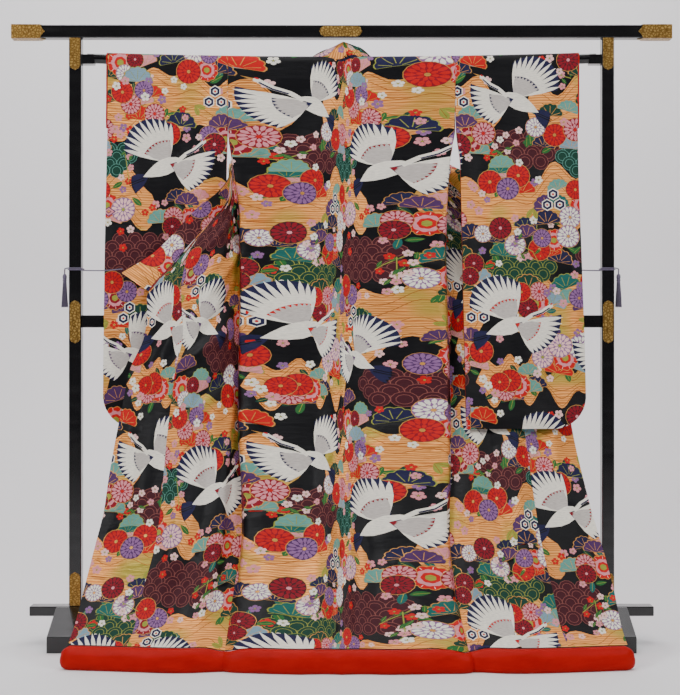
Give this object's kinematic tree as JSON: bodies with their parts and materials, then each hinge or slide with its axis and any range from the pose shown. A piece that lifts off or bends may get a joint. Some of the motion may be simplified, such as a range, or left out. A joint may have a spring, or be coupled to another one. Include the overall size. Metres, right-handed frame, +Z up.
{
  "type": "uchikake wedding kimono on a lacquered kimono stand",
  "caption": "Black satin uchikake wedding kimono with gold cloud bands, hung spread out by its sleeves on a black lacquer kimono stand with gold fittings.",
  "frame": {"origin": "on the floor under the middle of the whole part", "axes": "+X along the stand's beam, toward the sleeve on the viewer's right; -Y the way the back of the kimono faces, toward the viewer; +Z up"},
  "size_m": [1.9286, 0.6607, 1.8048],
  "materials": {
    "black_lacquer": "black gloss lacquer",
    "gilt_brass": "engraved gold plate",
    "figured_satin": "black silk satin with gold and coloured figures, lined in red",
    "red_lining": "vermilion silk",
    "tie_cord": "grey-purple braided silk"
  },
  "bodies": {
    "root": {"beam": "black_lacquer", "base_bar": "black_lacquer", "middle_rail": "black_lacquer", "post_left": "black_lacquer", "post_right": "black_lacquer", "foot_left": "black_lacquer", "foot_right": "black_lacquer", "cradle_left": "black_lacquer", "cradle_right": "black_lacquer", "rod": "black_lacquer", "beam_plate_front": "gilt_brass", "beam_plate_rear": "gilt_brass", "beam_cap_left": "gilt_brass", "beam_cap_right": "gilt_brass", "post_top_plate_left_front": "gilt_brass", "post_mid_plate_left_front": "gilt_brass", "post_base_plate_left_front": "gilt_brass", "post_top_plate_left_rear": "gilt_brass", "post_mid_plate_left_rear": "gilt_brass", "post_base_plate_left_rear": "gilt_brass", "post_top_plate_right_front": "gilt_brass", "post_mid_plate_right_front": "gilt_brass", "post_base_plate_right_front": "gilt_brass", "post_top_plate_right_rear": "gilt_brass", "post_mid_plate_right_rear": "gilt_brass", "post_base_plate_right_rear": "gilt_brass", "back_left": "figured_satin", "back_right": "figured_satin", "front_left": "figured_satin", "front_right": "figured_satin", "okumi_left": "figured_satin", "okumi_right": "figured_satin", "collar_neck": "figured_satin", "collar_left": "figured_satin", "collar_right": "figured_satin", "sleeve_left": "figured_satin", "sleeve_right": "figured_satin", "sleeve_edge_left": "red_lining", "sleeve_edge_right": "red_lining", "hem_roll_left": "red_lining", "hem_roll_back": "red_lining", "hem_roll_right": "red_lining", "tie_left": "tie_cord", "tie_right": "tie_cord", "tassel_left": "tie_cord", "tassel_right": "tie_cord"}
  },
  "joints": []
}
